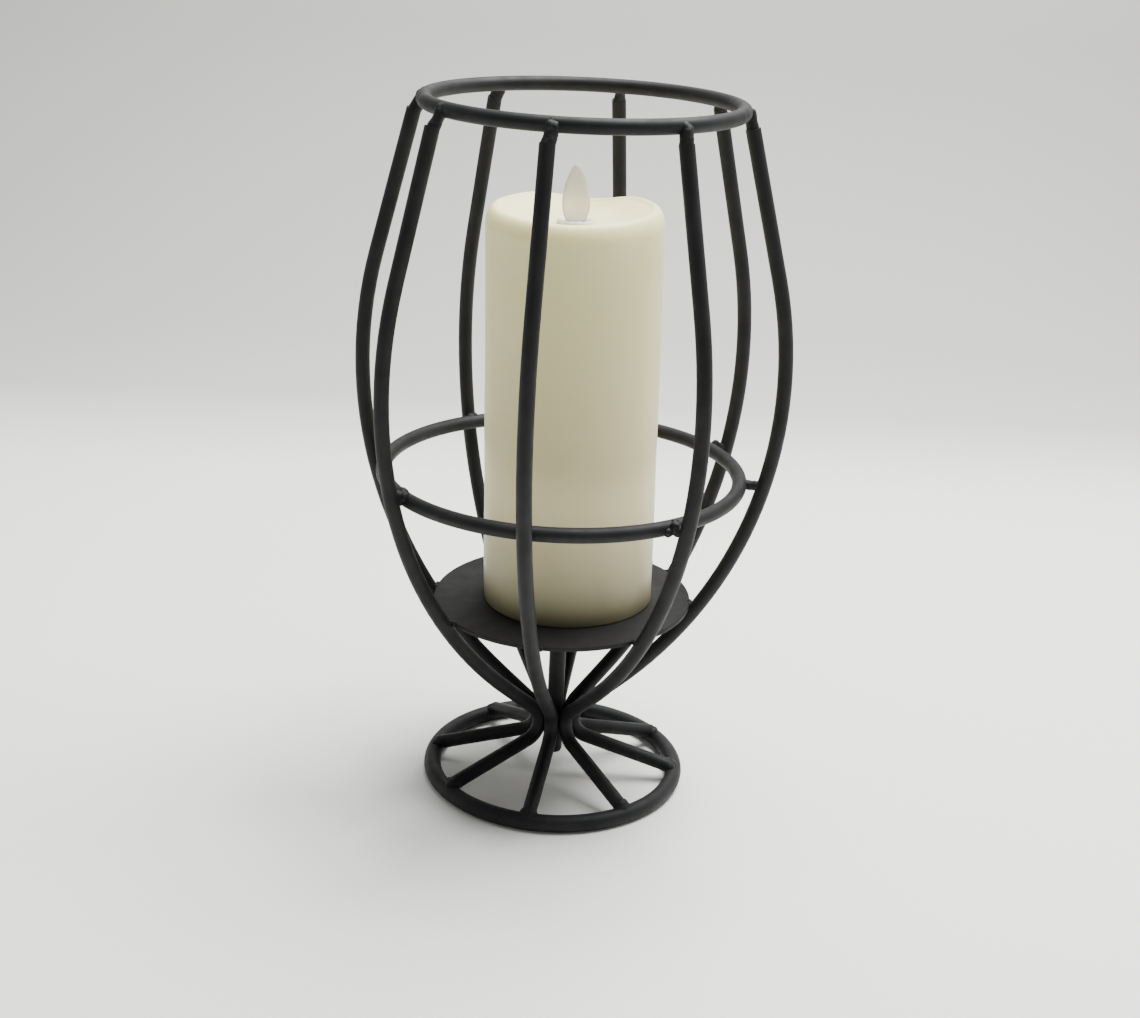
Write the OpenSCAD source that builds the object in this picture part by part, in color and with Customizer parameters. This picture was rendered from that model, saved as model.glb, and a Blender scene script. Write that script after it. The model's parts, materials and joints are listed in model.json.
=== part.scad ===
// Pillar candle holder: a goblet-shaped cage of eight bent wires on a spoked foot,
// with a flat steel candle plate, and the LED wax pillar that stands on it.
// Millimetres, +Z up. The origin is on the cage's axis, on the surface it stands on.

/* [Cage] */
// Diameter of the wire of the ribs and the two upper rings
wire_d = 6.35; // [6:0.05:6.5]
// Height of the top ring's centreline
top_ring_z = 305; // [300:1:310]
// Radius of the top ring's centreline
top_ring_r = 65; // [64:0.5:66]
// Sideways offset of the top ring on the ribs
top_ring_shift = 1; // [0:0.1:1.5]
// Height of the middle ring's centreline
middle_ring_z = 147; // [144:1:150]
// Radius of the middle ring's centreline
middle_ring_r = 77.6; // [76:0.1:78]
// Sideways offset of the middle ring in the cage
middle_ring_shift = -1.8; // [-1.8:0.1:1]
// Radius of the ribs' centreline at the belly
belly_r = 91.5; // [91:0.5:93]
// Height of the belly
belly_z = 190.5; // [190:0.5:192]
// Radius that the ribs' long bend follows
belly_bend_r = 190; // [188:1:190]
// How far below the top ring's centreline the ribs' cut ends lie
rib_end_drop = 6.3; // [6:0.1:7]
// Lean of the ribs' straight shoulders, from the vertical
shoulder_angle = 14.5; // [14:0.5:15]

/* [Foot] */
// Diameter of the base ring's wire and of the centre post
foot_wire_d = 7.5; // [7:0.1:8]
// Radius of the base ring's centreline
base_ring_r = 56; // [55:0.5:58]
// Slope of the spokes, below the horizontal
spoke_angle = 17; // [16:0.5:18]
// Height of the neck
neck_z = 27.5; // [27:0.5:28]
// Radius of the ribs' centrelines at the neck
neck_r = 8.45; // [8.4:0.05:9]
// Radius of the neck bend
neck_bend_r = 9; // [8.5:0.5:10]
// Height of the centre post's lower end
post_bottom_z = 12; // [10:1:14]
// Direction of the first rib at the neck
first_rib_angle = -10; // [-12:1:-8]

/* [Candle plate] */
// Radius of the candle plate
plate_r = 57.2; // [56:0.2:57.4]
// Thickness of the candle plate
plate_t = 2; // [1.5:0.5:3]
// Height of the candle plate's upper face
plate_z = 88.5; // [88:0.5:90]
// Tilt of the candle plate, down towards -X, as it was welded in
plate_tilt = 1.25; // [1:0.25:1.5]
// Sideways offset of the candle plate in the cage
plate_shift = 0.8; // [0.6:0.1:1]

/* [Candle] */
// Diameter of the candle
candle_d = 75; // [74:0.5:76]
// Height of the candle's wax, to its rim
candle_h = 176.5; // [175:0.5:178]
// Sideways offset of the candle on its plate
candle_shift = 3.2; // [2.5:0.1:3.5]
// Thickness of the wax wall
wax_wall = 5; // [5:0.5:6]
// Depth of the dish in the candle's top
dish_depth = 8.5; // [8:0.5:9]

/* [Flame] */
// Greatest width of the flame paddle
flame_w = 11.6; // [10:0.1:12]
// Height of the flame paddle above its pivot
flame_h = 32.5; // [31:0.5:33]
// Thickness of the flame paddle
flame_t = 3; // [2.5:0.1:3.5]
// Diameter of the flame's pivot pin
pin_d = 1; // [0.8:0.1:1.2]

/* [Hidden] */
$fn = 96;

// Wires
wire_r = wire_d / 2;
foot_wire_r = foot_wire_d / 2;
rib_count = 8;
// How far each rib is turned about its place in the neck, as a hand-welded cage stands
rib_turns = [5, -4, -4, -2, 2, 0, 0, 0];
// Flat worn on the base ring's underside
ground_flat = 0.1;
// How far a rib's straight stretches reach into its bends, and how much thinner they are
join_reach = 0.4;
join_step = 0.02;
bend_facets = 360;
wire_facets = 48;
base_ring_z = foot_wire_r - ground_flat;

// A rib in its own upright plane: [distance from the neck's axis, height]
belly_centre = [belly_r - belly_bend_r, belly_z];
neck_centre = [neck_r + neck_bend_r, neck_z];
centre_step = neck_centre - belly_centre;
// Angle from the vertical of the short straight between the long bend and the neck bend
waist_angle = atan2(-centre_step[1], centre_step[0])
    - acos((belly_bend_r + neck_bend_r) / norm(centre_step));
shoulder_start = belly_centre + belly_bend_r * [cos(shoulder_angle), sin(shoulder_angle)];
// Gap between the cut end of a spoke and the base ring, under the weld
weld_gap = 0.05;
rib_top_z = top_ring_z - rib_end_drop;
rib_top = [shoulder_start[0] - (rib_top_z - shoulder_start[1]) * tan(shoulder_angle), rib_top_z];
waist_top = belly_centre + belly_bend_r * [cos(waist_angle), -sin(waist_angle)];
waist_bottom = neck_centre + neck_bend_r * [-cos(waist_angle), sin(waist_angle)];
spoke_start = neck_centre + neck_bend_r * [-sin(spoke_angle), -cos(spoke_angle)];
spoke_dir = [cos(spoke_angle), -sin(spoke_angle)];
// The spoke ends where its cut face meets the side of the base ring
spoke_length = ([base_ring_r, base_ring_z] - spoke_start) * spoke_dir - foot_wire_r - weld_gap;
spoke_end = spoke_start + spoke_length * spoke_dir;

// Weld beads: how far each kind stands from the point that it is measured from
bead_r = 2.5;
bead_step = 0.2;
top_bead_step = 1.6;
top_bead_sink = 1;
middle_bead_reach = 1;
plate_bead_r = 2;
plate_bead_out = 0.8;
plate_bead_drop = 0.3;
base_bead_r = 3;
base_bead_out = 1.4;
base_bead_up = 0.8;
neck_bead_r = 1.9;
neck_bead_out = 1.6;
post_top_z = plate_z - plate_t;
post_fillet = 2;
// The fillet's bore is wider than the post by a hair, because it leans with the plate
post_fit = 0.05;

// Candle, measured from the plate's upper face
candle_r = candle_d / 2;
bore_r = candle_r - wax_wall;
dish_z = candle_h - dish_depth;
dish_wall = 4;
dish_floor_r = candle_r - 14;
dish_mouth_r = candle_r - 6;
rim_round = 2.5;
collar_r = 8;
collar_fit = 0.3;
collar_proud = 1.2;
collar_flange_r = 11;
collar_flange_t = 2;
collar_top = dish_z + collar_proud;
notch_count = 3;
notch_pitch = 50;
notch_w = 1.2;
notch_l = 2;
notch_depth = 1;
slot_w = 12.6;
slot_t = 5;

// Core tube, which holds the works of the flame
tube_r = 13;
tube_wall = 2;
tube_bottom = 68;
tube_top = dish_z - dish_wall - collar_flange_t;
tube_flange_r = 18;
tube_flange_t = 2;
core_screw_place_r = 15.5;
core_screw_angles = [0, 120, 240];
shelf_z = 134;
shelf_t = 2;
lead_hole_r = 3;

// Flame, hung on its pivot pin
pivot_z = 159.5;
pin_play = 0.05;
hub_r = 2.6;
stem_w = 4;
// Outline of the flame: how low its belly is, and how full its sides are
leaf_belly = 0.7;
leaf_fullness = 0.6;
leaf_start = 0.2;
leaf_steps = 24;
leaf_tip = 0.3;
tail_h = 10;
magnet_r = 3;
magnet_t = 3;
coil_r = 8;
coil_bore_r = 4;
coil_h = 6;
led_r = 1.5;
led_play = 0.2;
// The lamp stands beside the pivot pin
led_place = [3.2, 7];
led_h = 6;

// Base cup with its battery tray
cup_r = bore_r - 0.3;
cup_wall = 1.8;
cup_bottom = 3.5;
cup_top = tube_bottom;
cup_roof_t = 2;
floor_t = 2.5;
floor_top = cup_bottom + floor_t;
cover_hole_r = 24.5;
post_r = 3;
post_place_r = 27.8;
post_angles = [60, 120, 240, 300];
tray_z = 9;
tray_flange_t = 2;
tray_w = 33;
tray_d = 18;
tray_top = cup_top - 5;
cell_r = 7.25;
cell_l = 50.5;
cell_play = 0.15;
cell_tip_r = 2.7;
cell_tip_h = 1.2;
contact_r = 5;
cell_x = 8;
cell_z = 9;
board_r = 22;
board_t = 1.6;
board_hole_r = 1;
lead_r = 0.6;
lead_place_r = 1.5;
screw_r = 1.25;
screw_head_r = 2.4;
screw_head_t = 1.8;
screw_depth = 1;

// Battery cover, locked by two lugs above the cup's floor
cover_r = 24.2;
cover_t = 2;
cover_bottom = cup_bottom + 0.5;
lug_r = 28;
lug_t = 1.2;
lug_gap = 0.3;
lug_root = 3;
lug_angle = 28;
lug_neck_h = floor_top + lug_gap + lug_t / 2 - cover_bottom - cover_t / 2;
lug_turn = 30;
grip_w = 5;
grip_l = 36;
grip_h = 2;
strip_w = 7;
strip_t = 0.5;
strip_gap = 0.4;

// Slide switch, in the cup's floor
switch_y = -27;
switch_w = 10;
switch_d = 4;
switch_h = 2.6;
knob_w = 2.6;
knob_d = 2.2;
knob_h = 3;
knob_travel = 3;
knob_gap = 0.3;

// Direction of a rib's neck point, and the direction in which the rib leaves it
function neck_angle(i) = first_rib_angle + i * 360 / rib_count;
function rib_heading(i) = neck_angle(i) + rib_turns[i];
// Half width of the flame paddle at a height between 0, its foot, and 1, its tip
function leaf(t) =
    flame_w / 2 * pow(max(sin(180 * pow(t, leaf_belly)), 0), leaf_fullness);

// Puts a child, drawn in the XY plane with Y up, into the upright plane of rib i
module in_rib_plane(i) {
    rotate([0, 0, neck_angle(i)])
        translate([neck_r, 0, 0])
            rotate([0, 0, rib_turns[i]])
                translate([-neck_r, 0, 0])
                    rotate([90, 0, 0])
                        children();
}

// Round wire bent round a centre, between two directions
module bend(centre, bend_r, from, to, r) {
    translate([centre[0], centre[1], 0])
        rotate([0, 0, from])
            rotate_extrude(angle = to - from, $fn = bend_facets)
                translate([bend_r, 0])
                    circle(r = r, $fn = wire_facets);
}

// Straight round wire between two points
module straight(from, to, r) {
    step = to - from;
    translate([from[0], from[1], 0])
        rotate([0, 0, atan2(step[1], step[0])])
            rotate([0, 90, 0])
                cylinder(h = norm(step), r = r);
}

// Closed ring of round wire
module wire_ring(ring_r, z, r) {
    translate([0, 0, z])
        rotate_extrude()
            translate([ring_r, 0])
                circle(r = r);
}

// Solid tube with plain ends
module tube(outer, inner, z, h) {
    translate([0, 0, z])
        difference() {
            cylinder(h = h, r = outer);
            translate([0, 0, -1])
                cylinder(h = h + 2, r = inner);
        }
}

// Moves a child onto the tilted plate: its origin is the middle of the plate's upper face
module on_tilted_plate(shift) {
    translate([0, 0, plate_z])
        rotate([0, -plate_tilt, 0])
            translate([shift, 0, 0])
                children();
}

// Moves a child of the candle onto the plate
module on_plate() {
    on_tilted_plate(candle_shift)
        children();
}

// Straight stretch of a rib. It reaches a little way into the bend at either end, and is
// thinner than the bend by a hair, so that the two join as one solid.
module rib_straight(from, to, into_from, into_to) {
    along = (to - from) / norm(to - from);
    straight(from - along * into_from, to + along * into_to, wire_r - join_step);
}

module rib(i) {
    color("#242626")
        in_rib_plane(i) {
            rib_straight(spoke_end, spoke_start, 0, join_reach);
            bend(neck_centre, neck_bend_r, 180 - waist_angle, 270 - spoke_angle, wire_r);
            rib_straight(waist_bottom, waist_top, join_reach, join_reach);
            bend(belly_centre, belly_bend_r, -waist_angle, shoulder_angle, wire_r);
            rib_straight(shoulder_start, rib_top, join_reach, 0);
        }
}

module base_ring() {
    color("#242626")
        intersection() {
            wire_ring(base_ring_r, base_ring_z, foot_wire_r);
            cylinder(h = foot_wire_d, r = base_ring_r + foot_wire_d);
        }
}

module middle_ring() {
    color("#242626")
        translate([middle_ring_shift, 0, 0])
            wire_ring(middle_ring_r, middle_ring_z, wire_r);
}

module top_ring() {
    color("#242626")
        translate([top_ring_shift, 0, 0])
            wire_ring(top_ring_r, top_ring_z, wire_r);
}

module candle_plate() {
    color("#2a2c2c")
        on_tilted_plate(plate_shift)
            translate([0, 0, -plate_t])
                cylinder(h = plate_t, r = plate_r);
}

module center_post() {
    color("#242626") {
        translate([0, 0, post_bottom_z])
            cylinder(h = post_top_z - post_bottom_z, r = foot_wire_r);
        intersection() {
            translate([0, 0, post_bottom_z])
                sphere(r = foot_wire_r);
            translate([0, 0, post_bottom_z - foot_wire_r * 0.5])
                cylinder(h = foot_wire_r, r = foot_wire_r);
        }
    }
}

// Bead that bridges the step from the cut end of each rib to the side of the top ring
module top_welds() {
    color("#242626")
        for (i = [0 : rib_count - 1]) {
            ring_at_rib = top_ring_r + top_ring_shift * cos(rib_heading(i));
            ring_side = [ring_at_rib + top_bead_step, top_ring_z - top_bead_step];
            in_rib_plane(i) {
                straight(rib_top - [0, top_bead_sink], ring_side, bead_r - bead_step);
                translate([ring_side[0], ring_side[1], 0])
                    sphere(r = bead_r);
            }
        }
}

// Bead that bridges the gap between the middle ring and each rib
module middle_welds() {
    rib_at_ring = belly_centre[0] + sqrt(pow(belly_bend_r, 2) - pow(belly_z - middle_ring_z, 2));
    color("#242626")
        for (i = [0 : rib_count - 1]) {
            ring_at_rib = middle_ring_r + middle_ring_shift * cos(rib_heading(i));
            in_rib_plane(i)
                straight(
                    [ring_at_rib + middle_bead_reach, middle_ring_z],
                    [rib_at_ring - middle_bead_reach, middle_ring_z],
                    bead_r
                );
        }
}

// Bead between the plate's edge and each rib
module plate_welds() {
    color("#242626")
        for (i = [0 : rib_count - 1]) {
            edge_r = plate_r + plate_shift * cos(rib_heading(i));
            edge_z = plate_z - plate_t / 2 + plate_r * sin(plate_tilt) * cos(rib_heading(i));
            in_rib_plane(i)
                translate([edge_r + plate_bead_out, edge_z - plate_bead_drop, 0])
                    sphere(r = plate_bead_r);
        }
}

// Bead in the corner between each spoke and the base ring
module base_welds() {
    color("#242626")
        for (i = [0 : rib_count - 1])
            in_rib_plane(i)
                translate([spoke_end[0] + base_bead_out, spoke_end[1] + base_bead_up, 0])
                    sphere(r = base_bead_r);
}

// Beads in the corners between neighbouring ribs and the post
module neck_welds() {
    color("#242626")
        for (i = [0 : rib_count - 1])
            rotate([0, 0, neck_angle(i) + 180 / rib_count])
                translate([foot_wire_r + neck_bead_out, 0, neck_z])
                    sphere(r = neck_bead_r);
}

// Fillet round the post's upper end, under the plate
module post_weld() {
    color("#242626")
        on_tilted_plate(0)
            translate([0, 0, -plate_t])
                rotate_extrude()
                    polygon([
                        [foot_wire_r + post_fit, 0],
                        [foot_wire_r + post_fillet, 0],
                        [foot_wire_r + post_fit, -post_fillet]
                    ]);
}

// Wax pillar, open below, with a dished top and a hole for the flame's collar
module wax_shell() {
    color("#ebe4cd")
        on_plate()
            difference() {
                union() {
                    cylinder(h = candle_h - rim_round, r = candle_r);
                    cylinder(h = candle_h, r = candle_r - rim_round);
                    translate([0, 0, candle_h - rim_round])
                        rotate_extrude()
                            translate([candle_r - rim_round, 0])
                                circle(r = rim_round);
                }
                translate([0, 0, -1])
                    cylinder(h = dish_z - dish_wall + 1, r = bore_r);
                translate([0, 0, dish_z])
                    cylinder(h = dish_depth + 1, r1 = dish_floor_r, r2 = dish_mouth_r);
                cylinder(h = candle_h, r = collar_r + collar_fit);
            }
}

// Collar that shows in the dish, with a slot for the flame and small notches round it
module flame_collar() {
    color("#f0eadb")
        on_plate()
            difference() {
                union() {
                    translate([0, 0, tube_top])
                        cylinder(h = collar_flange_t, r = collar_flange_r);
                    translate([0, 0, tube_top])
                        cylinder(h = collar_top - tube_top, r = collar_r);
                }
                translate([-slot_w / 2, -slot_t / 2, tube_top - 1])
                    cube([slot_w, slot_t, collar_top - tube_top + 2]);
                for (i = [0 : notch_count - 1])
                    rotate([0, 0, 270 + (i - 1) * notch_pitch])
                        translate([collar_r - notch_l, -notch_w / 2, collar_top - notch_depth])
                            cube([notch_l + 1, notch_w, notch_depth + 1]);
                translate([led_place[0], led_place[1], tube_top - 1])
                    cylinder(h = collar_flange_t + 2, r = led_r + led_play);
            }
}

// Plastic cup in the foot of the candle, open where the battery cover goes
module base_cup() {
    color("#f2f0ea")
        on_plate()
            difference() {
                union() {
                    rotate_extrude()
                        polygon([
                            [cover_hole_r, cup_bottom], [cup_r, cup_bottom],
                            [cup_r, cup_top], [lead_hole_r, cup_top],
                            [lead_hole_r, cup_top - cup_roof_t],
                            [cup_r - cup_wall, cup_top - cup_roof_t],
                            [cup_r - cup_wall, floor_top], [cover_hole_r, floor_top]
                        ]);
                    for (a = post_angles)
                        rotate([0, 0, a])
                            translate([post_place_r, 0, floor_top - screw_depth])
                                cylinder(h = tray_z - floor_top + screw_depth, r = post_r);
                }
                for (a = post_angles)
                    rotate([0, 0, a])
                        translate([post_place_r, 0, floor_top - screw_depth])
                            cylinder(h = tray_z, r = screw_r);
                for (a = [0, 180])
                    rotate([0, 0, a + lug_turn])
                        lug(cover_r - lug_root, lug_r + 0.4, lug_angle + 4, cup_bottom - 1, floor_t + 2);
                for (a = core_screw_angles)
                    rotate([0, 0, a])
                        translate([core_screw_place_r, 0, cup_top - cup_roof_t - 1])
                            cylinder(h = cup_roof_t + 2, r = screw_r);
                translate([-(knob_w + knob_travel) / 2 - knob_gap, switch_y - knob_d / 2 - knob_gap, 0])
                    cube([knob_w + knob_travel + 2 * knob_gap, knob_d + 2 * knob_gap, floor_top + 1]);
            }
}

// Sector of a ring, on both sides of +X
module lug(inner, outer, angle, z, h) {
    translate([0, 0, z])
        rotate([0, 0, -angle / 2])
            rotate_extrude(angle = angle)
                translate([inner, 0])
                    square([outer - inner, h]);
}

// Tube that stands on the cup and carries the flame's works at the top
module core_tube() {
    color("#f2f0ea")
        on_plate()
            difference() {
                union() {
                    tube(tube_r, tube_r - tube_wall, tube_bottom, tube_top - tube_bottom);
                    tube(tube_flange_r, tube_r - tube_wall, tube_bottom, tube_flange_t);
                    tube(tube_r - tube_wall / 2, lead_hole_r, shelf_z, shelf_t);
                }
                for (a = core_screw_angles)
                    rotate([0, 0, a])
                        translate([core_screw_place_r, 0, tube_bottom - 1])
                            cylinder(h = tube_flange_t + 2, r = screw_r);
                translate([0, tube_r, pivot_z])
                    rotate([90, 0, 0])
                        cylinder(h = 2 * tube_r, r = pin_d / 2);
            }
}

// Tray for two AA cells, screwed to the cup's posts
module battery_tray() {
    color("#dcdad4")
        on_plate()
            difference() {
                union() {
                    translate([0, 0, tray_z])
                        cylinder(h = tray_flange_t, r = cup_r - cup_wall - 0.2);
                    translate([-tray_w / 2, -tray_d / 2, tray_z])
                        cube([tray_w, tray_d, tray_top - tray_z]);
                }
                for (side = [-1, 1])
                    translate([side * cell_x, 0, tray_z - 1])
                        cylinder(h = cell_z + cell_l + strip_t - tray_z + 1, r = cell_r + cell_play);
                for (a = post_angles)
                    rotate([0, 0, a])
                        translate([post_place_r, 0, tray_z - 1])
                            cylinder(h = tray_flange_t + 2, r = screw_r);
            }
}

// Two cells, each with its contact button on top
module batteries() {
    color("#3c6e8c")
        on_plate()
            for (side = [-1, 1])
                translate([side * cell_x, 0, cell_z]) {
                    cylinder(h = cell_l - cell_tip_h, r = cell_r);
                    cylinder(h = cell_l, r = cell_tip_r);
                }
}

// Contact plate over each cell
module contact_plates() {
    color("silver")
        on_plate()
            for (side = [-1, 1])
                translate([side * cell_x, 0, cell_z + cell_l])
                    cylinder(h = strip_t, r = contact_r);
}

module circuit_board() {
    color("#2f6b45")
        on_plate()
            translate([0, 0, tray_top])
                difference() {
                    cylinder(h = board_t, r = board_r);
                    translate([0, 0, -1])
                        cylinder(h = board_t + 2, r = board_hole_r);
                }
}

// Four insulated leads from the board up to the coil's shelf
module flame_leads() {
    color("#b03030")
        on_plate()
            for (a = [45 : 90 : 315])
                rotate([0, 0, a])
                    translate([lead_place_r, 0, tray_top + board_t])
                        cylinder(h = shelf_z + shelf_t - tray_top - board_t, r = lead_r);
}

module tray_screws() {
    color("silver")
        on_plate()
            for (a = post_angles)
                rotate([0, 0, a])
                    translate([post_place_r, 0, 0]) {
                        translate([0, 0, floor_top - screw_depth])
                            cylinder(h = tray_z + tray_flange_t - floor_top + screw_depth, r = screw_r);
                        translate([0, 0, tray_z + tray_flange_t])
                            cylinder(h = screw_head_t, r = screw_head_r);
                    }
}

module core_screws() {
    color("silver")
        on_plate()
            for (a = core_screw_angles)
                rotate([0, 0, a])
                    translate([core_screw_place_r, 0, tube_bottom - cup_roof_t]) {
                        cylinder(h = tube_flange_t + cup_roof_t, r = screw_r);
                        translate([0, 0, tube_flange_t + cup_roof_t])
                            cylinder(h = screw_head_t, r = screw_head_r);
                    }
}

module switch_body() {
    color("#1e1e1e")
        on_plate()
            translate([-switch_w / 2, switch_y - switch_d / 2, floor_top])
                cube([switch_w, switch_d, switch_h]);
}

module switch_knob() {
    color("#1e1e1e")
        on_plate()
            translate([-knob_w / 2 - knob_travel / 2, switch_y - knob_d / 2, floor_top - knob_gap - knob_h])
                cube([knob_w, knob_d, knob_h]);
}

// Steel pin that the flame hangs on, front to back
module pivot_pin() {
    color("silver")
        on_plate()
            translate([0, tube_r - 0.5, pivot_z])
                rotate([90, 0, 0])
                    cylinder(h = 2 * tube_r - 1, r = pin_d / 2);
}

module coil() {
    color("#b87333")
        on_plate()
            tube(coil_r, coil_bore_r, shelf_z + shelf_t, coil_h);
}

// Lamp behind the foot of the flame
module led() {
    color("#fff4c8")
        on_plate()
            translate([led_place[0], led_place[1], tube_top - led_h]) {
                cylinder(h = led_h - led_r, r = led_r);
                translate([0, 0, led_h - led_r])
                    sphere(r = led_r);
            }
}

// Flat translucent flame, with a hub on the pin and a tail down to the magnet
module flame_paddle() {
    side = [
        for (k = [0 : leaf_steps])
            [
                max(leaf(k / leaf_steps), leaf_tip),
                (leaf_start + (1 - leaf_start) * k / leaf_steps) * flame_h
            ]
    ];
    other_side = [for (k = [leaf_steps : -1 : 0]) [-side[k][0], side[k][1]]];
    color("#e6e2d8")
        on_plate()
            translate([0, flame_t / 2, pivot_z])
                rotate([90, 0, 0])
                    linear_extrude(height = flame_t)
                        difference() {
                            union() {
                                polygon(concat(side, other_side));
                                translate([-stem_w / 2, -tail_h])
                                    square([stem_w, tail_h + leaf_start * flame_h + 1]);
                                circle(r = hub_r);
                            }
                            circle(r = pin_d / 2 + pin_play);
                        }
}

module flame_magnet() {
    color("silver")
        on_plate()
            translate([0, 0, pivot_z - tail_h - magnet_t])
                cylinder(h = magnet_t, r = magnet_r);
}

// Twist-off cover with a grip across it and two lugs that lock above the cup's floor
module battery_cover() {
    color("#f2f0ea")
        on_plate() {
            translate([0, 0, cover_bottom])
                cylinder(h = cover_t, r = cover_r);
            translate([-grip_l / 2, -grip_w / 2, cover_bottom - grip_h])
                cube([grip_l, grip_w, grip_h]);
            for (a = [0, 180])
                rotate([0, 0, a]) {
                    lug(cover_r - lug_root, lug_r, lug_angle, floor_top + lug_gap, lug_t);
                    lug(
                        cover_r - lug_root - 1, cover_r - lug_gap, lug_angle,
                        cover_bottom + cover_t / 2, lug_neck_h
                    );
                }
        }
}

// Contact strip across the cover, bent up under each cell
module contact_strip() {
    low = cover_bottom + cover_t;
    high = tray_z - strip_gap - strip_t;
    color("silver")
        on_plate()
            translate([0, strip_w / 2, 0])
                rotate([90, 0, 0])
                    linear_extrude(height = strip_w)
                        polygon([
                            [-cell_x - 3, high], [-cell_x + 3, high], [-3, low], [3, low],
                            [cell_x - 3, high], [cell_x + 3, high],
                            [cell_x + 3, high + strip_t], [cell_x - 3, high + strip_t],
                            [3, low + strip_t], [-3, low + strip_t],
                            [-cell_x + 3, high + strip_t], [-cell_x - 3, high + strip_t]
                        ]);
}

base_ring();
rib(0);  // rib_1
rib(1);  // rib_2
rib(2);  // rib_3
rib(3);  // rib_4
rib(4);  // rib_5
rib(5);  // rib_6
rib(6);  // rib_7
rib(7);  // rib_8
middle_ring();
top_ring();
candle_plate();
center_post();
top_welds();
middle_welds();
plate_welds();
base_welds();
neck_welds();
post_weld();
wax_shell();
flame_collar();
base_cup();
core_tube();
battery_tray();
pivot_pin();
coil();
led();
circuit_board();
flame_leads();
batteries();
contact_plates();
tray_screws();
core_screws();
switch_body();
flame_paddle();
flame_magnet();
battery_cover();
contact_strip();
switch_knob();
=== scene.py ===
"""Pillar candle holder with its flameless candle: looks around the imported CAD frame, in metres."""

import json
import math
import random

import bmesh
import bpy
from mathutils import Matrix, Vector, noise


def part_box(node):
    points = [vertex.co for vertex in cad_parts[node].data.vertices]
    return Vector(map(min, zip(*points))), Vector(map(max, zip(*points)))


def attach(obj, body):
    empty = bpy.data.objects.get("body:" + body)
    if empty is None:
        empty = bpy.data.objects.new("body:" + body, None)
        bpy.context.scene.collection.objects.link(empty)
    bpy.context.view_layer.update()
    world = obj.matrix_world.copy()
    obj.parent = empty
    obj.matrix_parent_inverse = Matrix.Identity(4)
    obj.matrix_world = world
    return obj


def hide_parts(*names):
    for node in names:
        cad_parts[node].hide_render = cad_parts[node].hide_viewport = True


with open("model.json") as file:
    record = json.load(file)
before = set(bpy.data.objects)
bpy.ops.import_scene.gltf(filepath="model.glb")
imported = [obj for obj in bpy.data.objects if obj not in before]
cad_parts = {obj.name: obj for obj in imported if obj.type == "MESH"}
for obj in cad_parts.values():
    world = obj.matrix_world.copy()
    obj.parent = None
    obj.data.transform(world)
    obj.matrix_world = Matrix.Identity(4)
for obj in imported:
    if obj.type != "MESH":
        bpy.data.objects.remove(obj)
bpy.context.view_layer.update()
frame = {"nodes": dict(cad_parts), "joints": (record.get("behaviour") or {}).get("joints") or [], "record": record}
nodes = frame["nodes"]

MM = 0.001
IMAGE_W = 1140
SENSOR_MM = 36.0
RIBS = 8
random.seed(7)


# ---------------------------------------------------------------- frame measures

def leaning_frame():
    """Axes of the tilted plate and of the candle that stands on it, as columns."""
    lift = next(j for j in frame["joints"] if j["name"] == "candle_lift")
    up = Vector(lift["axis"]).normalized()
    back = Vector((0, 1, 0))
    return Matrix((back.cross(up), back, up)).transposed()


LEAN = leaning_frame()


def leaning_box(node):
    """Lowest and highest corners of a CAD node, measured along the candle's own axes."""
    points = [LEAN.transposed() @ v.co for v in nodes[node].data.vertices]
    low = Vector([min(p[k] for p in points) for k in range(3)])
    high = Vector([max(p[k] for p in points) for k in range(3)])
    return low, high


def rib_angle(number):
    """Direction of a rib from the cage's axis, taken at its belly."""
    points = [v.co for v in nodes[f"rib_{number}"].data.vertices]
    belly = max(points, key=lambda p: p.xy.length)
    return math.atan2(belly.y, belly.x)


def outward(number):
    """Unit vector from the cage's axis towards a rib."""
    angle = rib_angle(number)
    return Vector((math.cos(angle), math.sin(angle), 0))


def ring_point(node, number):
    """Point of a ring's centreline in the direction of a rib."""
    low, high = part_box(node)
    radius = (high.y - low.y - (high.z - low.z)) / 2
    return (low + high) / 2 + radius * outward(number)


def rib_top(number):
    """Middle of a rib's upper cut end."""
    points = [v.co for v in nodes[f"rib_{number}"].data.vertices]
    highest = max(p.z for p in points)
    end = [p for p in points if p.z > highest - 1.7 * MM]
    return sum(end, Vector()) / len(end)


def rib_foot(number):
    """Middle of the cut end of a rib's spoke."""
    points = [v.co for v in nodes[f"rib_{number}"].data.vertices if v.co.z < 12 * MM]
    farthest = max(p.xy.length for p in points)
    end = [p for p in points if p.xy.length > farthest - 2.2 * MM]
    return sum(end, Vector()) / len(end)


def rib_across(number, z):
    """Middle of a rib at a height above its neck."""
    mesh = nodes[f"rib_{number}"].data
    cuts = []
    for edge in mesh.edges:
        a, b = (mesh.vertices[k].co for k in edge.vertices)
        if (a.z - z) * (b.z - z) < 0:
            cuts.append(a.lerp(b, (z - a.z) / (b.z - a.z)))
    low = Vector([min(p[k] for p in cuts) for k in range(3)])
    high = Vector([max(p[k] for p in cuts) for k in range(3)])
    return (low + high) / 2


# ---------------------------------------------------------------- mesh helpers

def new_object(name, bm):
    mesh = bpy.data.meshes.new(name)
    bm.to_mesh(mesh)
    bm.free()
    for face in mesh.polygons:
        face.use_smooth = True
    obj = bpy.data.objects.new(name, mesh)
    bpy.context.scene.collection.objects.link(obj)
    return obj


def apply_modifiers(obj):
    bpy.context.view_layer.update()
    done = obj.evaluated_get(bpy.context.evaluated_depsgraph_get())
    mesh = bpy.data.meshes.new_from_object(done)
    obj.modifiers.clear()
    obj.data = mesh
    for face in mesh.polygons:
        face.use_smooth = True


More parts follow.
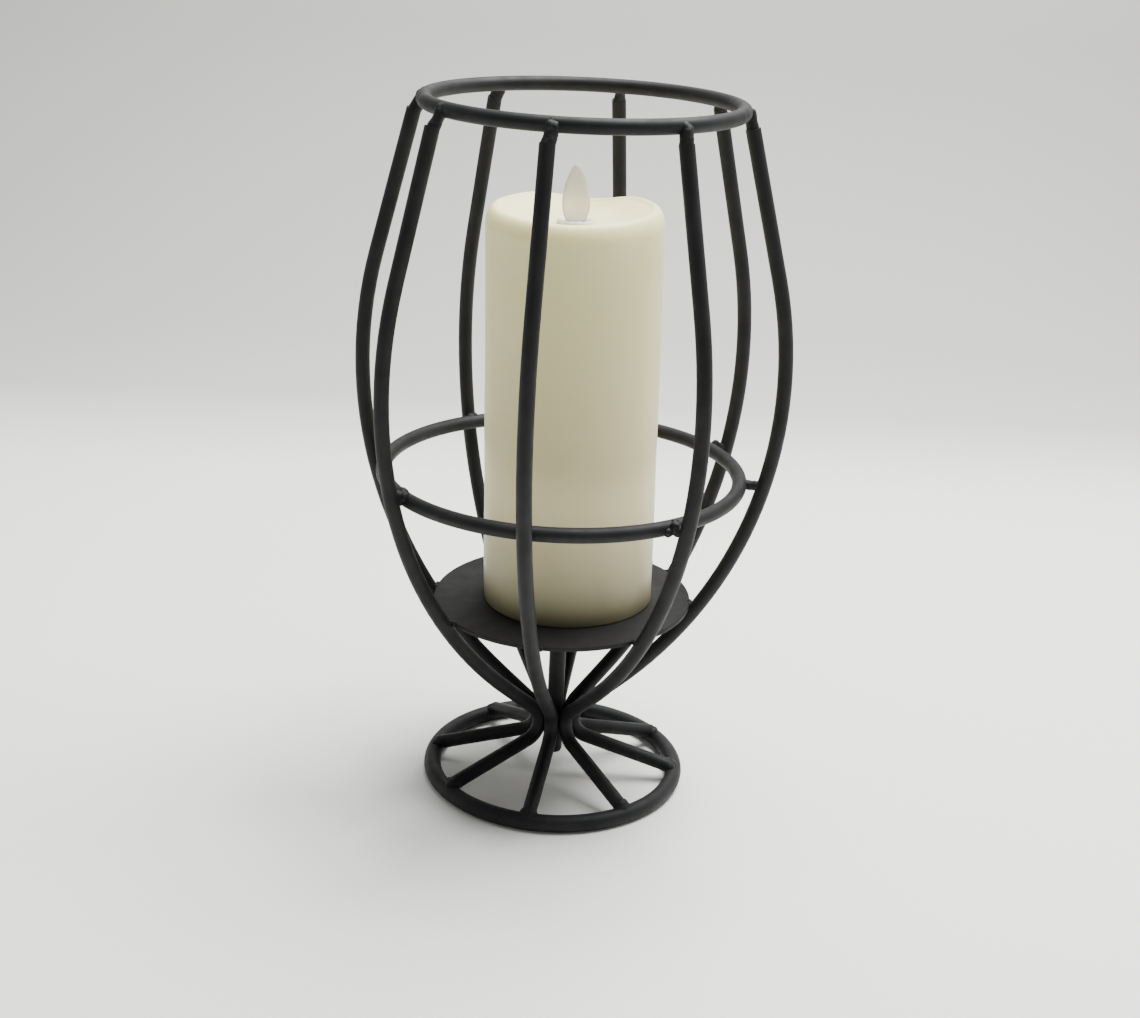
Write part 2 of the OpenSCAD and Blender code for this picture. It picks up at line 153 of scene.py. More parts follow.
def lathe(name, profile, middle, segments=192, shape=None):
    """Closed outline of (radius, height) points turned round an upright axis.
    shape(point, angle) may move each point."""
    bm = bmesh.new()
    rows = []
    for k in range(segments):
        angle = 2 * math.pi * k / segments
        row = []
        for radius, height in profile:
            r, z = shape(radius, height, angle) if shape else (radius, height)
            row.append(bm.verts.new((middle.x + r * math.cos(angle), middle.y + r * math.sin(angle), z)))
        rows.append(row)
    count = len(profile)
    for k in range(segments):
        here, there = rows[k], rows[(k + 1) % segments]
        for j in range(count):
            n = (j + 1) % count
            bm.faces.new((here[j], there[j], there[n], here[n]))
    bmesh.ops.recalc_face_normals(bm, faces=bm.faces)
    return new_object(name, bm)


def arc(middle, radius, start, end, steps):
    """Points along an arc in the plane of a profile, angles in degrees."""
    out = []
    for k in range(steps + 1):
        a = math.radians(start + (end - start) * k / steps)
        out.append((middle[0] + radius[0] * math.cos(a), middle[1] + radius[1] * math.sin(a)))
    return out


def smoothstep(low, high, value):
    t = min(max((value - low) / (high - low), 0), 1)
    return t * t * (3 - 2 * t)


def bump_at(angle, place, width):
    """1 at an angle, falling smoothly to 0 at width degrees from it."""
    away = abs((math.degrees(angle) - place + 180) % 360 - 180)
    return 0.5 + 0.5 * math.cos(math.pi * min(away / width, 1))


# ---------------------------------------------------------------- weld beads

VOXEL = 0.32 * MM


def weld(name, node, blobs):
    """One lumpy mesh that stands for a node of weld beads. blobs is a list of (place, radius)."""
    bm = bmesh.new()
    for place, radius in blobs:
        bmesh.ops.create_icosphere(bm, subdivisions=3, radius=radius, matrix=Matrix.Translation(place))
    obj = new_object(name, bm)
    remesh = obj.modifiers.new("remesh", "REMESH")
    remesh.mode = "VOXEL"
    remesh.voxel_size = VOXEL
    smooth = obj.modifiers.new("smooth", "SMOOTH")
    smooth.factor = 0.6
    smooth.iterations = 6
    apply_modifiers(obj)
    roughen(obj, [(380, 0.30), (1000, 0.13), (2600, 0.03)])
    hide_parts(node)
    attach(obj, "holder")
    return obj


def roughen(obj, octaves):
    """Moves the points of a mesh along their normals by noise: (frequency, millimetres)."""
    mesh = obj.data
    moved = []
    for vertex in mesh.vertices:
        push = sum(noise.noise(vertex.co * f) * depth for f, depth in octaves)
        moved.append(vertex.co + vertex.normal * push * MM)
    for vertex, place in zip(mesh.vertices, moved):
        vertex.co = place
    mesh.update()


def lumps(place, number, sizes, amount=0.25):
    """Blobs round a place: (out, across, up, radius) in millimetres, out along the rib's direction."""
    turn = Matrix.Rotation(rib_angle(number), 3, "Z")
    out = []
    for step_out, across, up, radius in sizes:
        shake = [random.uniform(-amount, amount) for _ in range(3)]
        step = Vector((step_out + shake[0], across + shake[1], up + shake[2]))
        out.append((place + turn @ step * MM, radius * random.uniform(0.94, 1.06) * MM))
    return out


def run(start, end, first, last, count):
    """Blobs in a row between two places, from one radius to another in millimetres."""
    return [
        (start.lerp(end, k / (count - 1)), (first + (last - first) * k / (count - 1)) * MM)
        for k in range(count)
    ]


def top_beads():
    """Necks from the ribs' cut ends to the top ring, lapped over the ring's outer side."""
    lap = [(2.4, 0.4, -0.9, 2.6), (2.2, -0.4, 0.2, 2.2), (1.7, 0.3, 1.2, 1.5), (1.3, -0.5, 1.5, 1.2)]
    heavier = {
        7: [(2.0, 1.6, 0.4, 1.4), (2.7, -1.0, -0.4, 1.5)],
        8: [(2.6, 0.6, -0.6, 2.0), (1.6, -1.5, 0.9, 1.3)],
    }
    full_neck = (3.0, 2.8)
    thin_necks = {1: (2.7, 2.5), 3: (2.6, 2.3), 6: (2.7, 2.4)}
    blobs = []
    for number in range(1, RIBS + 1):
        ring = ring_point("top_ring", number)
        out = outward(number)
        side = ring + out * 2.6 * MM + Vector((0, 0, -1.9 * MM))
        thick = thin_necks.get(number, full_neck)
        blobs += run(rib_top(number) - Vector((0, 0, 1.0 * MM)), side, *thick, 5)
        blobs += lumps(ring, number, lap + heavier.get(number, []))
    return blobs


def middle_beads():
    """Bridges between the middle ring and the ribs, with a few heavier lumps."""
    extra = {
        1: [(2.8, 0.6, 0.9, 1.7)],
        2: [(2.4, 2.2, 0.6, 1.7), (2.4, -2.2, 0.4, 1.7), (4.2, 0.0, 1.8, 1.8)],
        4: [(0.6, 1.6, 2.2, 1.8), (1.2, -0.6, 2.5, 1.7), (3.0, 0.2, 1.6, 1.9)],
        6: [(1.0, -2.8, 2.2, 2.3), (1.6, -0.2, 2.9, 2.7), (2.4, 2.6, 2.2, 2.2), (4.0, 0.6, 2.2, 2.2)],
        8: [(2.6, 2.0, -1.4, 2.1), (2.8, -2.2, -0.8, 2.0), (3.6, 0.2, 1.6, 2.2), (1.4, 1.4, 1.8, 1.8)],
    }
    blobs = []
    for number in range(1, RIBS + 1):
        ring = ring_point("middle_ring", number)
        out = outward(number)
        rib = rib_across(number, ring.z)
        blobs += run(ring + out * 2.2 * MM, rib - out * 2.2 * MM, 2.3, 2.2, 4)
        blobs += lumps(ring, number, extra.get(number, []))
    return blobs


def plate_beads():
    """Short runs of weld in the corner between the plate's edge and the ribs."""
    low, high = leaning_box("candle_plate")
    radius = (high.x - low.x) / 2
    lump = [(0.5, 0.0, -0.9, 1.5), (0.0, 1.7, -0.7, 1.2), (0.0, -1.7, -0.7, 1.2), (1.2, 0.0, -1.8, 1.5)]
    blobs = []
    for number in range(1, RIBS + 1):
        edge = LEAN @ (Vector(((low.x + high.x) / 2, 0, high.z)) + outward(number) * radius)
        blobs += lumps(edge, number, lump, 0.2)
    speck = LEAN @ Vector(((low.x + high.x) / 2 + radius * 0.72, radius * 0.69, high.z + 0.3 * MM))
    blobs += [(speck, 1.0 * MM)]
    return blobs


def base_beads():
    """Humps that lap each spoke's foot over the base ring."""
    hump = [
        (-1.0, 0.0, 0.0, 3.2), (0.6, 0.2, -0.1, 3.2), (1.8, 1.1, -0.4, 2.6), (1.8, -1.1, -0.4, 2.6),
        (2.6, 0.0, -0.8, 2.5), (1.0, 2.2, -1.4, 2.0), (1.0, -2.2, -1.4, 2.0),
    ]
    blobs = []
    for number in range(1, RIBS + 1):
        blobs += lumps(rib_foot(number), number, hump, 0.45)
    return blobs


def neck_beads():
    """Beads in the corners between neighbouring ribs and the post, at the neck."""
    low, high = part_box("neck_welds")
    bead_r = (high.z - low.z) / 2
    reach = (high.x - low.x) / 2 - bead_r
    half_run = Vector((0, 0, 1.5 * MM))
    first_rib = -10
    first = math.radians(first_rib + 180 / RIBS)
    blobs = []
    for number in range(RIBS):
        angle = first + number * 2 * math.pi / RIBS
        place = (low + high) / 2 + reach * Vector((math.cos(angle), math.sin(angle), 0))
        blobs += run(place - half_run, place + half_run, 1.5, 1.7, 3)
    return blobs


# ---------------------------------------------------------------- candle and plate

def plate():
    """Sheet disc with its edges slightly rounded by the coating."""
    low, high = leaning_box("candle_plate")
    radius = (high.x - low.x) / 2
    edge = 0.45 * MM
    corner = (edge, edge)
    profile = [(2 * MM, low.z), (radius * 0.6, low.z)]
    profile += arc((radius - edge, low.z + edge), corner, -90, 0, 5)
    profile += arc((radius - edge, high.z - edge), corner, 0, 90, 5)
    profile += [(radius * 0.6, high.z), (2 * MM, high.z)]
    obj = lathe_disc("sheet_plate", profile, (low + high) / 2)
    obj.data.transform(LEAN.to_4x4())
    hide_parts("candle_plate")
    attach(obj, "holder")
    return obj


def lathe_disc(name, profile, middle, segments=192):
    """Outline turned round an upright axis and closed at the middle by two caps."""
    bm = bmesh.new()
    rows = []
    for radius, height in profile:
        rows.append([
            bm.verts.new((middle.x + radius * math.cos(2 * math.pi * k / segments),
                          middle.y + radius * math.sin(2 * math.pi * k / segments), height))
            for k in range(segments)
        ])
    for here, there in zip(rows, rows[1:]):
        for k in range(segments):
            n = (k + 1) % segments
            bm.faces.new((here[k], here[n], there[n], there[k]))
    bm.faces.new(rows[0])
    bm.faces.new(rows[-1])
    bmesh.ops.recalc_face_normals(bm, faces=bm.faces)
    return new_object(name, bm)


def candle():
    """Wax pillar with rounded shoulders, an uneven rim and a dished top."""
    low, high = leaning_box("wax_shell")
    radius = (high.x - low.x) / 2
    rim = high.z - 1.2 * MM
    floor = leaning_box("flame_collar")[1].z - 1.2 * MM
    hole = 8.3 * MM
    wall = 5 * MM
    foot_round = 0.8 * MM
    shoulder = (4.5 * MM, 9.0 * MM)
    lip_w = 1.6 * MM
    roof = floor - 4 * MM
    profile = arc((radius - foot_round, low.z + foot_round), (foot_round, foot_round), -90, 0, 4)
    straight = rim - shoulder[1] - low.z
    profile += [(radius, low.z + straight * k / 24) for k in range(1, 24)]
    profile += arc((radius - shoulder[0], rim - shoulder[1]), shoulder, 0, 90, 16)
    lip = radius - shoulder[0]
    profile += arc((lip, rim - lip_w), (lip_w, lip_w), 100, 150, 4)
    inner, inner_z = profile[-1]
    dish = inner - hole - 2 * MM
    for k in range(1, 15):
        t = k / 14
        profile.append((inner - dish * t, inner_z + (floor - inner_z) * math.sin(math.pi / 2 * t) ** 1.1))
    profile += [(hole + 0.6 * MM, floor), (hole, floor - 0.5 * MM)]
    profile += [(hole, roof), (radius - wall, roof), (radius - wall, low.z)]
    front_dip, front_at, front_width = 2.1, 266, 100
    back_dip, back_at, back_width = 3.2, 80, 46

    def shape(r, z, angle):
        if r < radius - shoulder[0]:
            weight = smoothstep(floor, rim - 2 * MM, z) if z > floor else 0
        else:
            weight = smoothstep(rim - 16 * MM, rim - 1 * MM, z)
        dip = front_dip * bump_at(angle, front_at, front_width) ** 0.6
        dip += back_dip * bump_at(angle, back_at, back_width)
        ripple = noise.noise(Vector((1.6 * math.cos(angle), 1.6 * math.sin(angle), 0.7)))
        bulge = noise.noise(Vector((1.1 * math.cos(angle), 1.1 * math.sin(angle), z * 22)))
        return r + 0.35 * MM * bulge * (r > radius - shoulder[0]), z + weight * (0.3 * ripple - dip) * MM

    obj = lathe("wax_pillar", profile, (low + high) / 2, 192, shape)
    obj.data.transform(LEAN.to_4x4())
    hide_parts("wax_shell")
    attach(obj, "candle")
    return obj


def cut(obj, cutter):
    """Takes one mesh out of another and removes the cutter."""
    knife = obj.modifiers.new("cut", "BOOLEAN")
    knife.object = cutter
    knife.solver = "EXACT"
    apply_modifiers(obj)
    bpy.data.objects.remove(cutter)


def collar():
    """Moulded collar: a rounded lip, a sunk face, the flame's slot, and three openings in front of it."""
    low, high = leaning_box("flame_collar")
    middle = (low + high) / 2
    top, outer = high.z, 7.9 * MM
    lip = 0.6 * MM
    sunk = top - 0.35 * MM
    flange_r, flange_top = (high.x - low.x) / 2, low.z + 2 * MM
    profile = [(0.5 * MM, low.z), (flange_r, low.z), (flange_r, flange_top), (outer, flange_top)]
    profile += arc((outer - lip, top - lip), (lip, lip), 0, 180, 12)
    profile += [(outer - 2 * lip, sunk + 0.1 * MM), (outer - 2.4 * lip, sunk), (0.5 * MM, sunk)]
    obj = lathe_disc("collar", profile, middle)
    slot_half = (6.3 * MM, 2.5 * MM)
    bm = bmesh.new()
    bmesh.ops.create_cone(
        bm, cap_ends=True, segments=64, radius1=slot_half[1], radius2=slot_half[1], depth=30 * MM
    )
    for vert in bm.verts:
        vert.co.x += math.copysign(slot_half[0] - slot_half[1], vert.co.x)
        vert.co += Vector((middle.x, middle.y, middle.z))
    cut(obj, new_object("slot", bm))
    for turn, spin, wide in ((-46, 30, 1.1), (-3, 0, 0.5), (44, -30, 1.1)):
        bm = bmesh.new()
        bmesh.ops.create_icosphere(bm, subdivisions=3, radius=1 * MM)
        at = Matrix.Translation((middle.x, middle.y, sunk)) @ Matrix.Rotation(math.radians(turn), 4, "Z")
        at = at @ Matrix.Translation((0, -5.0 * MM, 0)) @ Matrix.Rotation(math.radians(spin), 4, "Z")
        bmesh.ops.transform(bm, matrix=at @ Matrix.Diagonal((wide, 1.8, 16.0, 1)), verts=bm.verts)
        cut(obj, new_object("opening", bm))
    obj.data.transform(LEAN.to_4x4())
    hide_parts("flame_collar")
    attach(obj, "candle")
    return obj


def flame():
    """Lens-sectioned flame on its stem and hub."""
    low, high = leaning_box("flame_paddle")
    middle = (low + high) / 2
    half_w = (high.x - low.x) / 2
    half_t = (high.y - low.y) / 2
    pin_low, pin_high = leaning_box("pivot_pin")
    pivot = (pin_low.z + pin_high.z) / 2
    tip = high.z
    foot = pivot + 7 * MM
    rows, columns = 44, 14
    bm = bmesh.new()
    sides = {}
    for side in (-1, 1):
        grid = []
        for j in range(rows + 1):
            t = j / rows
            width = half_w * max(max(math.sin(math.pi * t ** 0.7), 0) ** 0.6, 0.03)
            row = []
            for k in range(columns + 1):
                u = -1 + 2 * k / columns
                depth = half_t * math.sqrt(max(1 - abs(u) ** 2.2, 0)) * (1 - 0.55 * t ** 3)
                if abs(u) == 1 and side == 1:
                    row.append(sides[-1][j][k])
                    continue
                z = foot + (tip - foot) * t
                row.append(bm.verts.new((middle.x + width * u, middle.y + side * depth, z)))
            grid.append(row)
        sides[side] = grid
        for j in range(rows):
            for k in range(columns):
                bm.faces.new((grid[j][k], grid[j][k + 1], grid[j + 1][k + 1], grid[j + 1][k]))
    for j in (0, rows):
        front, back = sides[-1][j], sides[1][j]
        for k in range(columns):
            corners = []
            for v in (front[k], front[k + 1], back[k + 1], back[k]):
                if v not in corners:
                    corners.append(v)
            bm.faces.new(corners)
    hub_r, bore_r, hub_steps = 2.6 * MM, 0.55 * MM, 32
    stem_w = 2.0 * MM
    stem = [
        (-stem_w, low.z), (stem_w, low.z), (stem_w, foot + 1 * MM), (-stem_w, foot + 1 * MM),
    ]
    corners = []
    for y in (-0.8 * half_t, 0.8 * half_t):
        corners.append([bm.verts.new((middle.x + x, middle.y + y, z)) for x, z in stem])
    front, back = corners
    bm.faces.new(front)
    bm.faces.new(list(reversed(back)))
    for k in range(4):
        n = (k + 1) % 4
        bm.faces.new((front[k], back[k], back[n], front[n]))
    ring = {}
    for y in (-half_t, half_t):
        for radius in (bore_r, hub_r):
            ring[y, radius] = [
                bm.verts.new((middle.x + radius * math.cos(2 * math.pi * k / hub_steps), middle.y + y,
                              pivot + radius * math.sin(2 * math.pi * k / hub_steps)))
                for k in range(hub_steps)
            ]
    loop = [ring[-half_t, bore_r], ring[-half_t, hub_r], ring[half_t, hub_r], ring[half_t, bore_r]]
    for here, there in zip(loop, loop[1:] + loop[:1]):
        for k in range(hub_steps):
            n = (k + 1) % hub_steps
            bm.faces.new((here[k], here[n], there[n], there[k]))
    bmesh.ops.recalc_face_normals(bm, faces=bm.faces)
    obj = new_object("flame_leaf", bm)
    obj.data.transform(LEAN.to_4x4())
    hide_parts("flame_paddle")
    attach(obj, "flame")
    return obj


# ---------------------------------------------------------------- materials

def material(name, base, roughness):
    """New node material. Returns it with its node tree and its shader."""
    mat = bpy.data.materials.new(name)
    mat.use_nodes = True
    tree = mat.node_tree
    shader = tree.nodes["Principled BSDF"]
    shader.inputs["Base Color"].default_value = (*base, 1)
    shader.inputs["Roughness"].default_value = roughness
    return mat, tree, shader


def noise_node(tree, scale, detail=4.0, roughness=0.55, stretch=(1, 1, 1)):
    """Noise over the object's own coordinates."""
    place = tree.nodes.new("ShaderNodeTexCoord")
    mapping = tree.nodes.new("ShaderNodeMapping")
    mapping.inputs["Scale"].default_value = stretch
    node = tree.nodes.new("ShaderNodeTexNoise")
    node.inputs["Scale"].default_value = scale
    node.inputs["Detail"].default_value = detail
    node.inputs["Roughness"].default_value = roughness
    tree.links.new(place.outputs["Object"], mapping.inputs["Vector"])
    tree.links.new(mapping.outputs["Vector"], node.inputs["Vector"])
    return node.outputs["Fac"]


def ramp(tree, value, stops):
    """Colour ramp: stops are (place, colour)."""
    node = tree.nodes.new("ShaderNodeValToRGB")
    elements = node.color_ramp.elements
    while len(elements) < len(stops):
        elements.new(0.5)
    for element, (place, colour) in zip(elements, stops):
        element.position = place
        element.color = (*colour, 1)
    tree.links.new(value, node.inputs["Fac"])
    return node.outputs["Color"]


def spread(tree, value, low, high, from_low=0.3, from_high=0.7):
    """Maps a value onto the range low to high."""
    node = tree.nodes.new("ShaderNodeMapRange")
    node.inputs["From Min"].default_value = from_low
    node.inputs["From Max"].default_value = from_high
    node.inputs["To Min"].default_value = low
    node.inputs["To Max"].default_value = high
    tree.links.new(value, node.inputs["Value"])
    return node.outputs["Result"]


def multiply(tree, a, b):
    node = tree.nodes.new("ShaderNodeMix")
    node.data_type = "RGBA"
    node.blend_type = "MULTIPLY"
    node.inputs["Factor"].default_value = 1
    tree.links.new(a, node.inputs["A"])
    tree.links.new(b, node.inputs["B"])
    return node.outputs["Result"]


def bump(tree, shader, height, distance, strength=1.0, below=None):
    node = tree.nodes.new("ShaderNodeBump")
    node.inputs["Strength"].default_value = strength
    node.inputs["Distance"].default_value = distance
    tree.links.new(height, node.inputs["Height"])
    if below:
        tree.links.new(below, node.inputs["Normal"])
    tree.links.new(node.outputs["Normal"], shader.inputs["Normal"])
    return node.outputs["Normal"]


def height_node(tree, low, high, axis="Z"):
    """0 at low to 1 at high along one of the object's own axes, Z unless another is named."""
    place = tree.nodes.new("ShaderNodeTexCoord")
    split = tree.nodes.new("ShaderNodeSeparateXYZ")
    tree.links.new(place.outputs["Object"], split.inputs["Vector"])
    return spread(tree, split.outputs[axis], 0, 1, low, high)


def powder_coat(name, dark, light, rough):
    """Satin black powder coat: fine orange-peel texture and cloudy tone."""
    mat, tree, shader = material(name, dark, rough[0])
    cloud = noise_node(tree, 60, 5)
    tree.links.new(ramp(tree, cloud, [(0.35, dark), (0.68, light)]), shader.inputs["Base Color"])
    tree.links.new(spread(tree, noise_node(tree, 140, 4), *rough), shader.inputs["Roughness"])
    shader.inputs["Specular IOR Level"].default_value = 0.2
    peel = bump(tree, shader, noise_node(tree, 900, 3), 0.00005, 0.5)
    bump(tree, shader, noise_node(tree, 2600, 2), 0.00002, 0.4, peel)
    return mat


def wax():
    low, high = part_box("wax_shell")
    mat, tree, shader = material("ivory_wax", (0.8, 0.74, 0.58), 0.42)
    # Painted shade and painted light: the wax colour is darker towards its foot, where the black plate shades it,
    # and lighter towards its top, where the overhead light falls.
    tone = ramp(tree, height_node(tree, low.z, high.z), [
        (0.0, (0.22, 0.20, 0.12)), (0.10, (0.40, 0.36, 0.22)), (0.30, (0.72, 0.65, 0.38)),
        (0.80, (0.90, 0.81, 0.43)), (0.94, (0.97, 0.89, 0.48)), (1.0, (0.98, 0.91, 0.50)),
    ])
    cloud = ramp(tree, noise_node(tree, 22, 5), [(0.3, (0.96, 0.955, 0.94)), (0.7, (1, 1, 1))])
    tree.links.new(multiply(tree, tone, cloud), shader.inputs["Base Color"])
    tree.links.new(spread(tree, noise_node(tree, 70, 4), 0.36, 0.5), shader.inputs["Roughness"])
    shader.inputs["Subsurface Weight"].default_value = 0.35
    shader.inputs["Subsurface Radius"].default_value = (1.0, 0.7, 0.4)
    shader.inputs["Subsurface Scale"].default_value = 0.010
    shader.inputs["Specular IOR Level"].default_value = 0.3
    soft = bump(tree, shader, noise_node(tree, 90, 4), 0.0004, 0.25)
    bump(tree, shader, noise_node(tree, 900, 3), 0.00006, 0.25, soft)
    return mat


def moulded(name, base, rough, grain=1400):
    """Moulded plastic: a faint tone change and a fine grain."""
    mat, tree, shader = material(name, base, rough)
    low = tuple(c * 0.93 for c in base)
    tone = ramp(tree, noise_node(tree, 120, 3), [(0.3, low), (0.7, base)])
    tree.links.new(tone, shader.inputs["Base Color"])
    sheen = spread(tree, noise_node(tree, 300, 3), rough - 0.05, rough + 0.07)
    tree.links.new(sheen, shader.inputs["Roughness"])
    bump(tree, shader, noise_node(tree, grain, 2), 0.00003, 0.4)
    return mat


def frosted_flame():
    mat, tree, shader = material("flame_plastic", (0.82, 0.79, 0.75), 0.38)
    veil = ramp(tree, noise_node(tree, 160, 4), [(0.3, (0.76, 0.735, 0.70)), (0.7, (0.86, 0.84, 0.81))])
    tree.links.new(veil, shader.inputs["Base Color"])
    tree.links.new(spread(tree, noise_node(tree, 260, 3), 0.3, 0.45), shader.inputs["Roughness"])
    shader.inputs["Transmission Weight"].default_value = 0.55
    shader.inputs["IOR"].default_value = 1.45
    bump(tree, shader, noise_node(tree, 500, 3), 0.00008, 0.4)
    return mat


def clear_resin():
    mat, tree, shader = material("clear_plastic", (0.95, 0.9, 0.72), 0.12)
    tint = ramp(tree, noise_node(tree, 500, 2), [(0.3, (0.9, 0.84, 0.62)), (0.7, (0.97, 0.93, 0.8))])
    tree.links.new(tint, shader.inputs["Base Color"])
    shader.inputs["Transmission Weight"].default_value = 0.8
    shader.inputs["IOR"].default_value = 1.5
    return mat


def plated_steel():
    mat, tree, shader = material("bright_steel", (0.62, 0.62, 0.62), 0.28)
    tone = ramp(tree, noise_node(tree, 300, 4), [(0.3, (0.5, 0.5, 0.5)), (0.7, (0.68, 0.68, 0.67))])
    tree.links.new(tone, shader.inputs["Base Color"])
    tree.links.new(spread(tree, noise_node(tree, 900, 3), 0.2, 0.4), shader.inputs["Roughness"])
    shader.inputs["Metallic"].default_value = 1
    bump(tree, shader, noise_node(tree, 3000, 2, 0.5, (1, 1, 12)), 0.00001, 0.4)
    return mat


def wound_copper():
    """Enamelled winding: one band for each turn of wire."""
    mat, tree, shader = material("copper", (0.72, 0.38, 0.18), 0.3)
    bands = tree.nodes.new("ShaderNodeTexWave")
    bands.wave_type = "BANDS"
    bands.bands_direction = "Z"
    bands.inputs["Scale"].default_value = 800
    place = tree.nodes.new("ShaderNodeTexCoord")
    tree.links.new(place.outputs["Object"], bands.inputs["Vector"])
    # Painted shade: the copper is darker where the bands are lowest, in the grooves between the turns.
    tone = ramp(tree, bands.outputs["Fac"], [(0.1, (0.35, 0.14, 0.05)), (0.8, (0.78, 0.42, 0.2))])
    tree.links.new(tone, shader.inputs["Base Color"])
    shader.inputs["Metallic"].default_value = 1
    bump(tree, shader, bands.outputs["Fac"], 0.0001, 0.8)
    return mat


def board():
    mat, tree, shader = material("board_green", (0.05, 0.22, 0.1), 0.35)
    tracks = tree.nodes.new("ShaderNodeTexVoronoi")
    tracks.distance = "MANHATTAN"
    tracks.feature = "F1"
    tracks.inputs["Scale"].default_value = 260
    place = tree.nodes.new("ShaderNodeTexCoord")
    tree.links.new(place.outputs["Object"], tracks.inputs["Vector"])
    tone = ramp(tree, tracks.outputs["Distance"], [(0.2, (0.03, 0.15, 0.07)), (0.6, (0.07, 0.28, 0.13))])
    tree.links.new(tone, shader.inputs["Base Color"])
    bump(tree, shader, tracks.outputs["Distance"], 0.00005, 0.4)
    return mat


def cell_wrap():
    """Plain wrapped cell, with a bare metal band at its button end."""
    low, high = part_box("batteries")
    mat, tree, shader = material("cell_wrap", (0.08, 0.2, 0.32), 0.28)
    bands = ramp(tree, height_node(tree, low.z, high.z), [
        (0.0, (0.55, 0.55, 0.54)), (0.03, (0.06, 0.17, 0.28)), (0.7, (0.09, 0.22, 0.34)),
        (0.72, (0.62, 0.6, 0.5)), (0.96, (0.62, 0.6, 0.5)), (0.98, (0.6, 0.6, 0.6)),
    ])
    tree.links.new(bands, shader.inputs["Base Color"])
    tree.links.new(spread(tree, noise_node(tree, 200, 3), 0.2, 0.35), shader.inputs["Roughness"])
    return mat


def finish_surfaces(made):
    """Gives every CAD node and every new piece the material of its slot."""
    wire_tones = ((0.0085, 0.009, 0.0095), (0.015, 0.0156, 0.0162))
    sheet_tones = ((0.009, 0.009, 0.009), (0.014, 0.0138, 0.0135))
    looks = {
        "black_steel": powder_coat("black_steel", *wire_tones, (0.5, 0.64)),
        "black_plate": powder_coat("black_plate", *sheet_tones, (0.6, 0.7)),
        "ivory_wax": wax(),
        "white_plastic": moulded("white_plastic", (0.84, 0.82, 0.76), 0.42),
        "flame_plastic": frosted_flame(),
        "clear_plastic": clear_resin(),
        "black_plastic": moulded("black_plastic", (0.03, 0.03, 0.03), 0.45),
        "bright_steel": plated_steel(),
        "copper": wound_copper(),
        "board_green": board(),
        "lead_red": moulded("lead_red", (0.5, 0.05, 0.05), 0.4, 900),
        "cell_wrap": cell_wrap(),
    }
    for part in frame["record"]["subparts"]:
        obj = nodes[part["node"]]
        obj.data.materials.clear()
        obj.data.materials.append(looks[part["material_slot"]])
    for obj, slot in made:
        obj.data.materials.clear()
        obj.data.materials.append(looks[slot])


# ---------------------------------------------------------------- stage, light and camera

def stage():
    """Pale floor that curves up into a plain wall behind the object; the far floor and the wall carry painted
    shade.
    """
    bend, wall_y, wide, tall, near = 0.25, 1.0, 3.0, 1.9, -2.2
    painted_shade_start = 0.30
    profile = [(near, 0.0), (wall_y - bend, 0.0)]
    for k in range(1, 17):
        a = math.pi / 2 * k / 16
        profile.append((wall_y - bend + bend * math.sin(a), bend - bend * math.cos(a)))
    profile.append((wall_y, tall))
    bm = bmesh.new()
    rows = [[bm.verts.new((x, y, z)) for x in (-wide, wide)] for y, z in profile]
    for here, there in zip(rows, rows[1:]):
        bm.faces.new((here[0], here[1], there[1], there[0]))
    obj = new_object("backdrop", bm)
    mat, tree, shader = material("backdrop", (0.8, 0.795, 0.785), 0.75)
    cloud = ramp(tree, noise_node(tree, 3, 3), [(0.3, (0.985, 0.985, 0.985)), (0.7, (1, 1, 1))])
    # Painted shade: the floor behind the object and the wall are painted darker, standing in for the overhead
    # light falling off with distance.
    tone = ramp(tree, height_node(tree, painted_shade_start, wall_y, "Y"), [
        (0.0, (0.95, 0.95, 0.91)), (0.15, (0.93, 0.93, 0.90)), (0.40, (0.60, 0.60, 0.575)),
        (1.0, (0.56, 0.56, 0.535)),
    ])
    tree.links.new(multiply(tree, cloud, tone), shader.inputs["Base Color"])
    shader.inputs["Specular IOR Level"].default_value = 0.2
    obj.data.materials.append(mat)


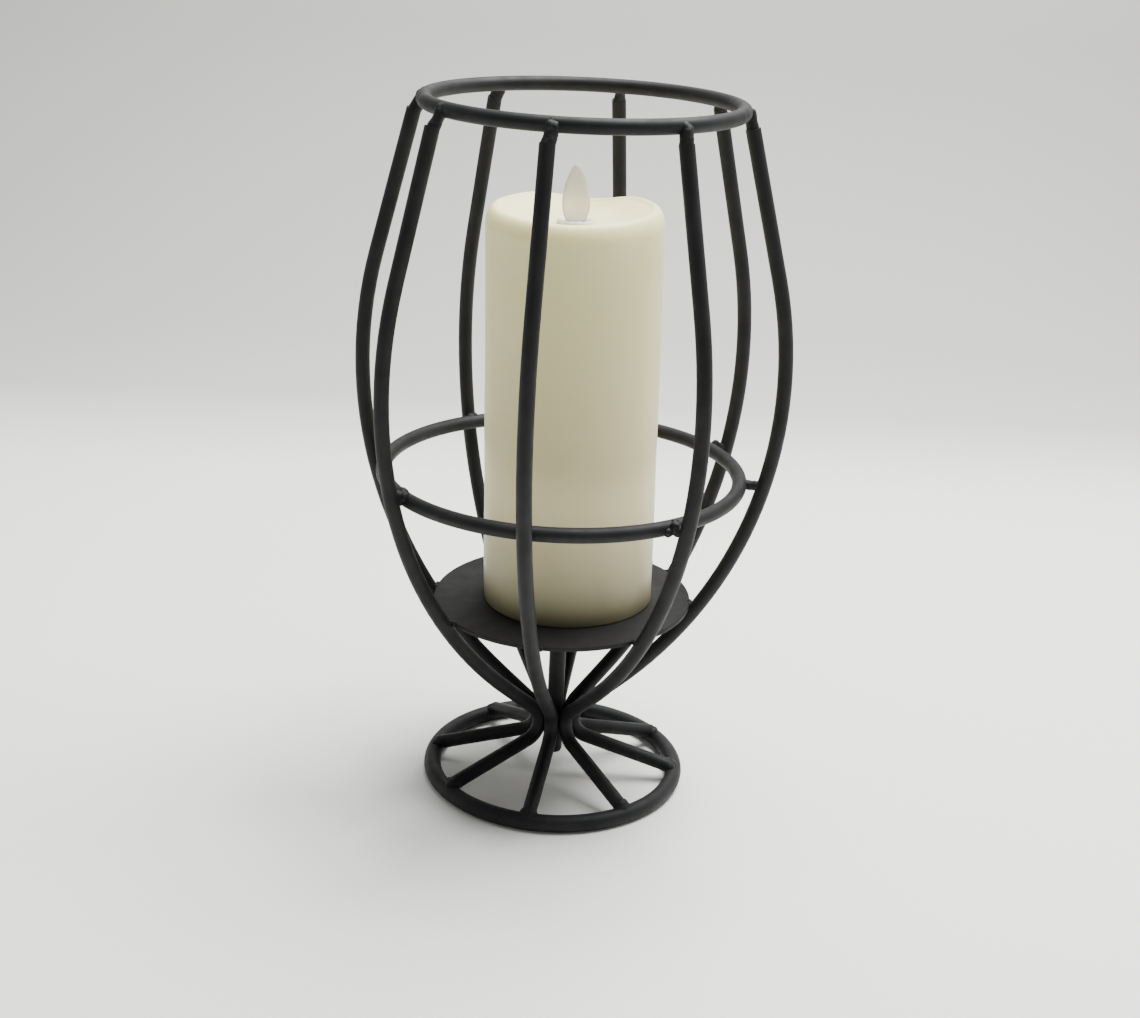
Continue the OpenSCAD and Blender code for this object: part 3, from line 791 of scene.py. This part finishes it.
def softbox(name, place, aim, size, power):
    data = bpy.data.lights.new(name, "AREA")
    data.shape = "RECTANGLE"
    data.size, data.size_y = size
    data.energy = power
    lamp = bpy.data.objects.new(name, data)
    lamp.location = place
    lamp.rotation_euler = (Vector(aim) - Vector(place)).to_track_quat("-Z", "Y").to_euler()
    bpy.context.scene.collection.objects.link(lamp)


def lights():
    world = bpy.data.worlds.new("studio")
    world.use_nodes = True
    world.node_tree.nodes["Background"].inputs["Color"].default_value = (1.0, 0.995, 0.985, 1)
    world.node_tree.nodes["Background"].inputs["Strength"].default_value = 0.26
    bpy.context.scene.world = world
    softbox("overhead", (0.3, 0.25, 1.25), (0, -0.1, 0.0), (1.0, 0.8), 51)
    softbox("right_strip", (1.2, 0.35, 0.5), (0, 0, 0.2), (0.10, 0.9), 3)
    softbox("left_strip", (-1.2, 0.3, 0.5), (0, 0, 0.2), (0.10, 0.9), 2)


def camera():
    """Camera at the angle from which the holder is looked at."""
    back, height = 713.6 * MM, 395.5 * MM
    yaw, pitch, roll = 0.0037, 0.357, 0.0458
    focal_pixels = 1727.3
    ahead = Vector((math.sin(yaw) * math.cos(pitch), math.cos(yaw) * math.cos(pitch), -math.sin(pitch)))
    right = Vector((math.cos(yaw), -math.sin(yaw), 0))
    up = right.cross(ahead)
    turned_right = math.cos(roll) * right + math.sin(roll) * up
    turned_up = math.cos(roll) * up - math.sin(roll) * right
    data = bpy.data.cameras.new("camera")
    data.sensor_fit = "HORIZONTAL"
    data.sensor_width = SENSOR_MM
    data.lens = SENSOR_MM * focal_pixels / IMAGE_W
    obj = bpy.data.objects.new("camera", data)
    pose = Matrix((turned_right, turned_up, -ahead)).transposed().to_4x4()
    obj.matrix_world = Matrix.Translation((0, -back, height)) @ pose
    bpy.context.scene.collection.objects.link(obj)
    bpy.context.scene.camera = obj


made = [
    (weld("weld_top", "top_welds", top_beads()), "black_steel"),
    (weld("weld_middle", "middle_welds", middle_beads()), "black_steel"),
    (weld("weld_plate", "plate_welds", plate_beads()), "black_steel"),
    (weld("weld_base", "base_welds", base_beads()), "black_steel"),
    (weld("weld_neck", "neck_welds", neck_beads()), "black_steel"),
    (plate(), "black_plate"),
    (candle(), "ivory_wax"),
    (collar(), "white_plastic"),
    (flame(), "flame_plastic"),
]
finish_surfaces(made)
stage()
lights()
camera()
